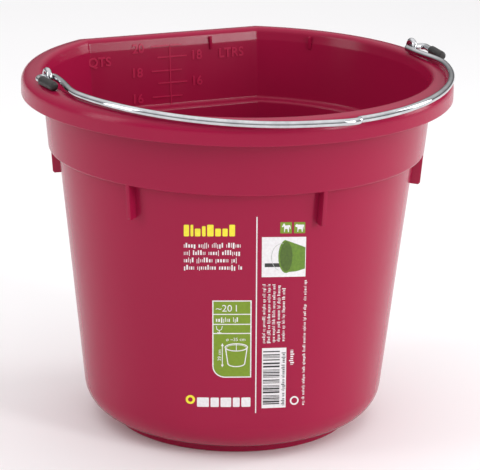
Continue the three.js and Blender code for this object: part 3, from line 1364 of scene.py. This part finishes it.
# a round bar along points, with slightly rounded ends; the section is carried along without twist
def sweptWire(points, radius, sides):
    s = wireEnds
    spots = [points[0]]
    for point in points[1:]:
        if (point - spots[-1]).length > s["closest"]:
            spots.append(point)
    last = len(spots) - 1
    ways = []
    for i in range(len(spots)):
        ways.append((spots[min(i + 1, last)] - spots[max(i - 1, 0)]).normalized())
    inset = s["rounding"] * s["share"]
    # (spot, step along the wire, radius)
    stations = [(0, 0, radius - s["rounding"]), (0, inset, radius - inset)]
    stations += [(i, 0, radius) for i in range(1, last)]
    stations += [(last, -inset, radius - inset), (last, 0, radius - s["rounding"])]
    side = ways[0].orthogonal().normalized()
    shape = bmesh.new()
    rings = []
    for i, step, reach in stations:
        way = ways[i]
        side = (side - way * side.dot(way)).normalized()
        other = way.cross(side)
        centre = spots[i] + way * step
        ring = []
        for k in range(sides):
            turn = 2 * math.pi * k / sides
            spot = centre + (side * math.cos(turn) + other * math.sin(turn)) * reach
            ring.append(shape.verts.new(spot * mm))
        rings.append(ring)
    for lower, upper in zip(rings, rings[1:]):
        for k in range(sides):
            j = (k + 1) % sides
            shape.faces.new((lower[k], lower[j], upper[j], upper[k]))
    shape.faces.new(list(reversed(rings[0])))
    shape.faces.new(rings[-1])
    return shape


def bailWire():
    shape = sweptWire(bailCurve(), bailSet["wire"] / 2, bailSet["sides"])
    piece = finishPiece(meshFrom(shape, "bailWire"), "steel_bail", steelFinish)
    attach(piece, "bail")
    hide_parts("bail_wire")


# an upside-down U of wire across the bail's axis, its ends turned out under the rim
def eyeCurve(side):
    s = eyeSet
    leg = s["span"] / 2
    top = s["crown"] - leg
    low = s["clinchHeight"] + s["clinchBend"]
    turnOut = leg + s["clinchBend"]
    tip = Vector((turnOut + s["clinchLength"], s["clinchHeight"]))
    half = linePoints(tip, Vector((turnOut, s["clinchHeight"])), 4)
    half += arcPoints(turnOut, low, s["clinchBend"], 270, 180, 10)[1:]
    half += linePoints(Vector((leg, low)), Vector((leg, top)), 6)[1:]
    half += arcPoints(0, top, leg, 0, 90, 14)[1:]
    flat = half + mirrored(half[:-1])[::-1]
    x = side * metalSet["eyeX"] + metalSet["shift"]
    return [Vector((x, metalSet["pivotY"] + axisY + point.x, point.y)) for point in flat]


def wireEyes():
    for side, word in ((-1, "left"), (1, "right")):
        shape = sweptWire(eyeCurve(side), eyeSet["wire"] / 2, eyeSet["sides"])
        piece = finishPiece(meshFrom(shape, "eye"), f"wire_eye_{word}", steelFinish)
        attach(piece, "bucket")
        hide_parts(f"bail_eye_{word}")


# a turned shape from a closed (radius, length) section, along a direction
def turnedShape(section, base, forward, columns=32):
    across = forward.orthogonal().normalized()
    other = forward.cross(across)
    shape = bmesh.new()
    grid = []
    for point in section:
        centre = base + forward * point.y
        if point.x < 1e-6:
            grid.append([shape.verts.new(centre * mm)] * columns)
            continue
        ring = []
        for k in range(columns):
            turn = 2 * math.pi * k / columns
            spot = centre + (across * math.cos(turn) + other * math.sin(turn)) * point.x
            ring.append(shape.verts.new(spot * mm))
        grid.append(ring)
    for i in range(len(grid)):
        lower, upper = grid[i], grid[(i + 1) % len(grid)]
        for k in range(columns):
            j = (k + 1) % columns
            corners = []
            for vert in (lower[k], lower[j], upper[j], upper[k]):
                if vert not in corners:
                    corners.append(vert)
            if len(corners) > 2:
                shape.faces.new(corners)
    return shape


def endCaps():
    s = capSet
    bore = bailSet["wire"] / 2 + s["clearance"]
    section = roundedOutline([
        (bore, 0, s["mouthRounding"]),
        (s["radius"], 0, s["edgeRounding"]),
        (s["radius"], s["length"], s["noseRounding"]),
        (0, s["length"]),
        (0, s["length"] - s["floor"]),
        (bore, s["length"] - s["floor"]),
    ], closed=True, margin=0.8)
    for side, word in ((-1, "left"), (1, "right")):
        strand = strandPoints(side)
        tip, heel = strand[0], strand[bailSet["strandSteps"]]
        end = onBail(Vector((side * tip.x, tip.y)))
        forward = (end - onBail(Vector((side * heel.x, heel.y)))).normalized()
        base = end + forward * (s["clearance"] + s["floor"] - s["length"])
        shape = turnedShape(section, base, forward)
        piece = finishPiece(meshFrom(shape, "cap"), f"end_cap_{word}", capFinish)
        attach(piece, "bail")
        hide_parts(f"bail_cap_{word}")


bailWire()
wireEyes()
endCaps()
for word in ("left", "right"):
    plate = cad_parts[f"backing_plate_{word}"]
    for holder in plate.material_slots:
        holder.material = plateFinish
print("bail, eyes and caps in place")

# the floor, in metres
floorSet = {
    "half": 9,
    "grey": (0.94, 0.935, 0.94),
    "white": (0.955, 0.95, 0.955),
    "mottleScale": 3,
    "rough": 0.8,
    "specular": 0.1,
}


def floorMaterial():
    s = floorSet
    material, nodes, links, shader = newMaterial("paleFloor")
    place = stretchedPlace(nodes, links, (1, 1, 1))
    mottle = makeNoise(nodes, links, place, s["mottleScale"], 2)
    links.new(makeMix(nodes, links, mottle, s["grey"], s["white"]), shader.inputs["Base Color"])
    shader.inputs["Roughness"].default_value = s["rough"]
    shader.inputs["Specular IOR Level"].default_value = s["specular"]
    return material


def makeFloor():
    half = floorSet["half"]
    corners = ((-half, -half, 0), (half, -half, 0), (half, half, 0), (-half, half, 0))
    shape = bmesh.new()
    shape.faces.new([shape.verts.new(corner) for corner in corners])
    mesh = meshFrom(shape, "floor")
    mesh.materials.append(floorMaterial())
    floor = bpy.data.objects.new("studio_floor", mesh)
    bpy.context.scene.collection.objects.link(floor)


# the sky is dark at floor level and bright from a good way up; places and sizes are in metres
lightSet = {
    "horizon": (0.05, 0.05, 0.052),
    "zenith": (1.07, 1.065, 1.07),
    "climbStart": 0.02,
    "climbEnd": 0.75,
    # name: (place, aim, width, height, power, spread in degrees)
    "lamps": {
        "overhead": ((0.0, 0.6, 2.6), (0, 0, 0), 4.5, 4.5, 8, 180),
        "leftBox": ((-2.0, 0.2, 0.85), (0, 0, 0.2), 0.7, 1.4, 4.2, 110),
        "rightBox": ((2.1, -0.3, 0.95), (0, 0, 0.2), 0.7, 1.4, 5.2, 100),
        "frontBox": ((0.96, -1.82, 0.85), (0, 0.15, 0.28), 0.42, 1.05, 4.5, 90),
    },
}


def makeLights():
    s = lightSet
    world = bpy.data.worlds.new("studio")
    world.use_nodes = True
    nodes, links = world.node_tree.nodes, world.node_tree.links
    way = nodes.new("ShaderNodeTexCoord")
    parts = nodes.new("ShaderNodeSeparateXYZ")
    links.new(way.outputs["Generated"], parts.inputs["Vector"])
    climb = makeRange(nodes, links, parts.outputs["Z"], 0, 1, s["climbStart"], s["climbEnd"])
    sky = makeMix(nodes, links, climb, s["horizon"], s["zenith"])
    links.new(sky, nodes["Background"].inputs["Color"])
    bpy.context.scene.world = world
    for name, (place, aim, width, height, power, spread) in s["lamps"].items():
        data = bpy.data.lights.new(name, "AREA")
        data.shape = "RECTANGLE"
        data.size = width
        data.size_y = height
        data.energy = power
        data.spread = math.radians(spread)
        lamp = bpy.data.objects.new(name, data)
        lamp.location = place
        lamp.rotation_euler = (Vector(aim) - Vector(place)).to_track_quat("-Z", "Y").to_euler()
        bpy.context.scene.collection.objects.link(lamp)


makeFloor()
makeLights()
bpy.context.scene.view_settings.view_transform = "Standard"
print("studio ready")
